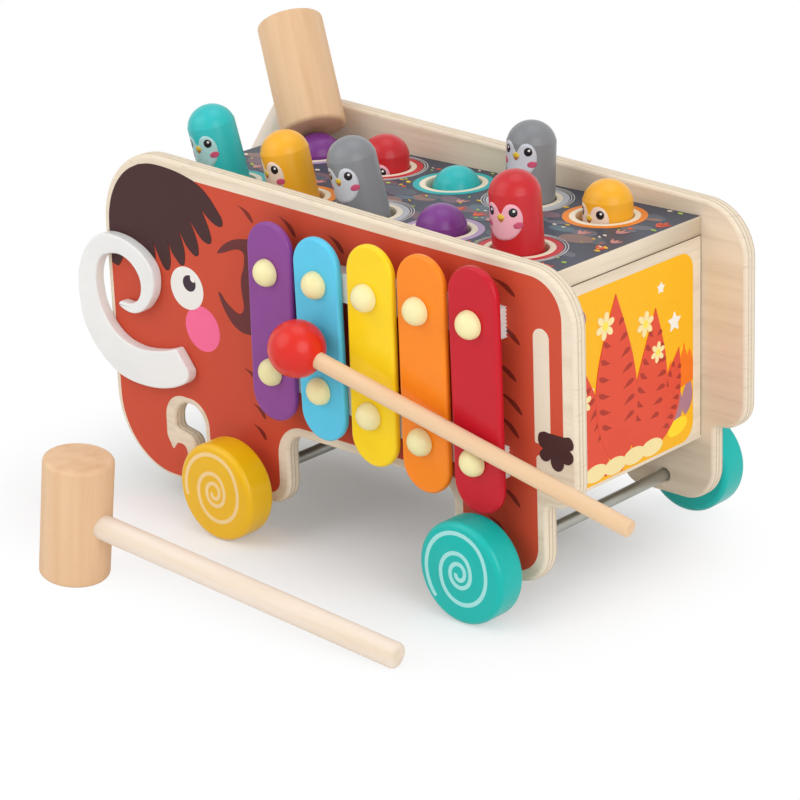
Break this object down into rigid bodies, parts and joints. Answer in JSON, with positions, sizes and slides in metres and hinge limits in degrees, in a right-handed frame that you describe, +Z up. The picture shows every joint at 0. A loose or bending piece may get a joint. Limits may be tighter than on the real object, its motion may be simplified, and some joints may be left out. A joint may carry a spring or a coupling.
{
  "type": "xylophone pounding bench",
  "caption": "Wooden push-along pounding bench shaped like a mammoth, with peg figures, a bar xylophone, spinners, hammers and a mallet.",
  "frame": {"origin": "on the floor, under the middle of the box round everything", "axes": "+X from the mammoth's head to its tail, +Y from the xylophone side to the spinner side, +Z up"},
  "size_m": [0.4404, 0.302, 0.2253],
  "materials": {
    "front_print": "printed plywood, satin",
    "rear_print": "printed plywood, satin",
    "board_print": "printed plywood, satin",
    "grip_foam": "matt foam",
    "head_wall_print": "printed plywood, satin",
    "tail_wall_print": "printed plywood, satin",
    "rail_felt": "felt",
    "bar_purple": "gloss enamel",
    "bar_blue": "gloss enamel",
    "bar_yellow": "gloss enamel",
    "bar_orange": "gloss enamel",
    "bar_red": "gloss enamel",
    "pin_cap": "sanded, clear satin",
    "tusk_paint": "satin paint",
    "spinner_two_wing": "satin paint",
    "plain_wood": "sanded, clear satin",
    "spinner_three_wing": "satin paint",
    "peg_turquoise": "satin paint",
    "peg_yellow": "satin paint",
    "peg_gray": "satin paint",
    "peg_purple": "satin paint",
    "peg_red": "satin paint",
    "axle_steel": "bright drawn rod",
    "wheel_yellow": "satin paint",
    "wheel_teal": "satin paint",
    "hammer_wood": "sanded, clear satin",
    "handle_wood": "sanded, clear satin",
    "ball_paint": "satin paint",
    "stick_wood": "sanded, clear satin"
  },
  "bodies": {
    "bench": {"front_panel": "front_print", "rear_panel": "rear_print", "top_board": "board_print", "peg_grip_sheet": "grip_foam", "head_end_wall": "head_wall_print", "tail_end_wall": "tail_wall_print", "upper_rail": "rail_felt", "lower_rail": "rail_felt", "bar_purple": "bar_purple", "bar_blue": "bar_blue", "bar_yellow": "bar_yellow", "bar_orange": "bar_orange", "bar_red": "bar_red", "pin_upper_purple": "pin_cap", "pin_lower_purple": "pin_cap", "pin_upper_blue": "pin_cap", "pin_lower_blue": "pin_cap", "pin_upper_yellow": "pin_cap", "pin_lower_yellow": "pin_cap", "pin_upper_orange": "pin_cap", "pin_lower_orange": "pin_cap", "pin_upper_red": "pin_cap", "pin_lower_red": "pin_cap", "tusk_front": "tusk_paint", "tusk_rear": "tusk_paint", "spinner_washer_two_wing": "plain_wood", "spinner_pin_two_wing": "pin_cap", "spinner_washer_three_wing": "plain_wood", "spinner_pin_three_wing": "pin_cap"},
    "head_axle": {"axle_head": "axle_steel", "wheel_head_front": "wheel_yellow", "spacer_head_front": "plain_wood", "wheel_head_rear": "wheel_yellow", "spacer_head_rear": "plain_wood"},
    "tail_axle": {"axle_tail": "axle_steel", "wheel_tail_front": "wheel_teal", "spacer_tail_front": "plain_wood", "wheel_tail_rear": "wheel_teal", "spacer_tail_rear": "plain_wood"},
    "peg_front_1": {"peg_front_1_turquoise": "peg_turquoise"},
    "peg_front_2": {"peg_front_2_yellow": "peg_yellow"},
    "peg_front_3": {"peg_front_3_gray": "peg_gray"},
    "peg_front_4": {"peg_front_4_purple": "peg_purple"},
    "peg_front_5": {"peg_front_5_red": "peg_red"},
    "peg_rear_1": {"peg_rear_1_purple": "peg_purple"},
    "peg_rear_2": {"peg_rear_2_red": "peg_red"},
    "peg_rear_3": {"peg_rear_3_turquoise": "peg_turquoise"},
    "peg_rear_4": {"peg_rear_4_gray": "peg_gray"},
    "peg_rear_5": {"peg_rear_5_yellow": "peg_yellow"},
    "spinner_two_wing": {"spinner_two_wing": "spinner_two_wing"},
    "spinner_three_wing": {"spinner_three_wing": "spinner_three_wing"},
    "hammer_floor": {"hammer_floor_head": "hammer_wood", "hammer_floor_handle": "handle_wood"},
    "hammer_leaning": {"hammer_leaning_head": "hammer_wood", "hammer_leaning_handle": "handle_wood"},
    "mallet": {"mallet_ball": "ball_paint", "mallet_stick": "stick_wood"}
  },
  "joints": [
    {"name": "head_axle_roll", "type": "hinge", "parent": "bench", "child": "head_axle", "pos_m": [-0.02179, 0.02756, 0.0243], "axis": [0, 1, 0], "continuous": true},
    {"name": "tail_axle_roll", "type": "hinge", "parent": "bench", "child": "tail_axle", "pos_m": [0.13381, 0.02756, 0.0243], "axis": [0, 1, 0], "continuous": true},
    {"name": "peg_front_1_slide", "type": "slide", "parent": "bench", "child": "peg_front_1", "axis": [-0.1433, -0.1336, 0.9806], "range_m": [-0.03312, 0.00121]},
    {"name": "peg_front_2_slide", "type": "slide", "parent": "bench", "child": "peg_front_2", "axis": [-0.1178, -0.1098, 0.987], "range_m": [-0.02716, 0.00784]},
    {"name": "peg_front_3_slide", "type": "slide", "parent": "bench", "child": "peg_front_3", "axis": [-0.1433, -0.1336, 0.9806], "range_m": [-0.03167, 0.00266]},
    {"name": "peg_front_4_slide", "type": "slide", "parent": "bench", "child": "peg_front_4", "axis": [0, 0, 1], "range_m": [-0.00655, 0.03115]},
    {"name": "peg_front_5_slide", "type": "slide", "parent": "bench", "child": "peg_front_5", "axis": [-0.036, -0.0336, 0.9988], "range_m": [-0.03049, 0.00645]},
    {"name": "peg_rear_1_slide", "type": "slide", "parent": "bench", "child": "peg_rear_1", "axis": [0, 0, 1], "range_m": [-0.00453, 0]},
    {"name": "peg_rear_2_slide", "type": "slide", "parent": "bench", "child": "peg_rear_2", "axis": [0, 0, 1], "range_m": [-0.01101, 0.02669]},
    {"name": "peg_rear_3_slide", "type": "slide", "parent": "bench", "child": "peg_rear_3", "axis": [0, 0, 1], "range_m": [-0.00251, 0.03519]},
    {"name": "peg_rear_4_slide", "type": "slide", "parent": "bench", "child": "peg_rear_4", "axis": [0.0288, 0.0269, 0.9992], "range_m": [-0.03209, 0.005]},
    {"name": "peg_rear_5_slide", "type": "slide", "parent": "bench", "child": "peg_rear_5", "axis": [0, 0, 1], "range_m": [-0.01142, 0.02628]},
    {"name": "spinner_two_wing_turn", "type": "hinge", "parent": "bench", "child": "spinner_two_wing", "pos_m": [0.12581, 0.09826, 0.108], "axis": [0, 1, 0], "continuous": true},
    {"name": "spinner_three_wing_turn", "type": "hinge", "parent": "bench", "child": "spinner_three_wing", "pos_m": [0.03381, 0.09826, 0.102], "axis": [0, 1, 0], "continuous": true},
    {"name": "hammer_floor_lift", "type": "slide", "parent": "bench", "child": "hammer_floor", "axis": [0, 0, 1], "range_m": [0, 0.2]},
    {"name": "hammer_leaning_lift", "type": "slide", "parent": "bench", "child": "hammer_leaning", "axis": [0, 0, 1], "range_m": [0, 0.2]},
    {"name": "mallet_lift", "type": "slide", "parent": "bench", "child": "mallet", "axis": [0, -1, 0], "range_m": [0, 0.2]}
  ]
}
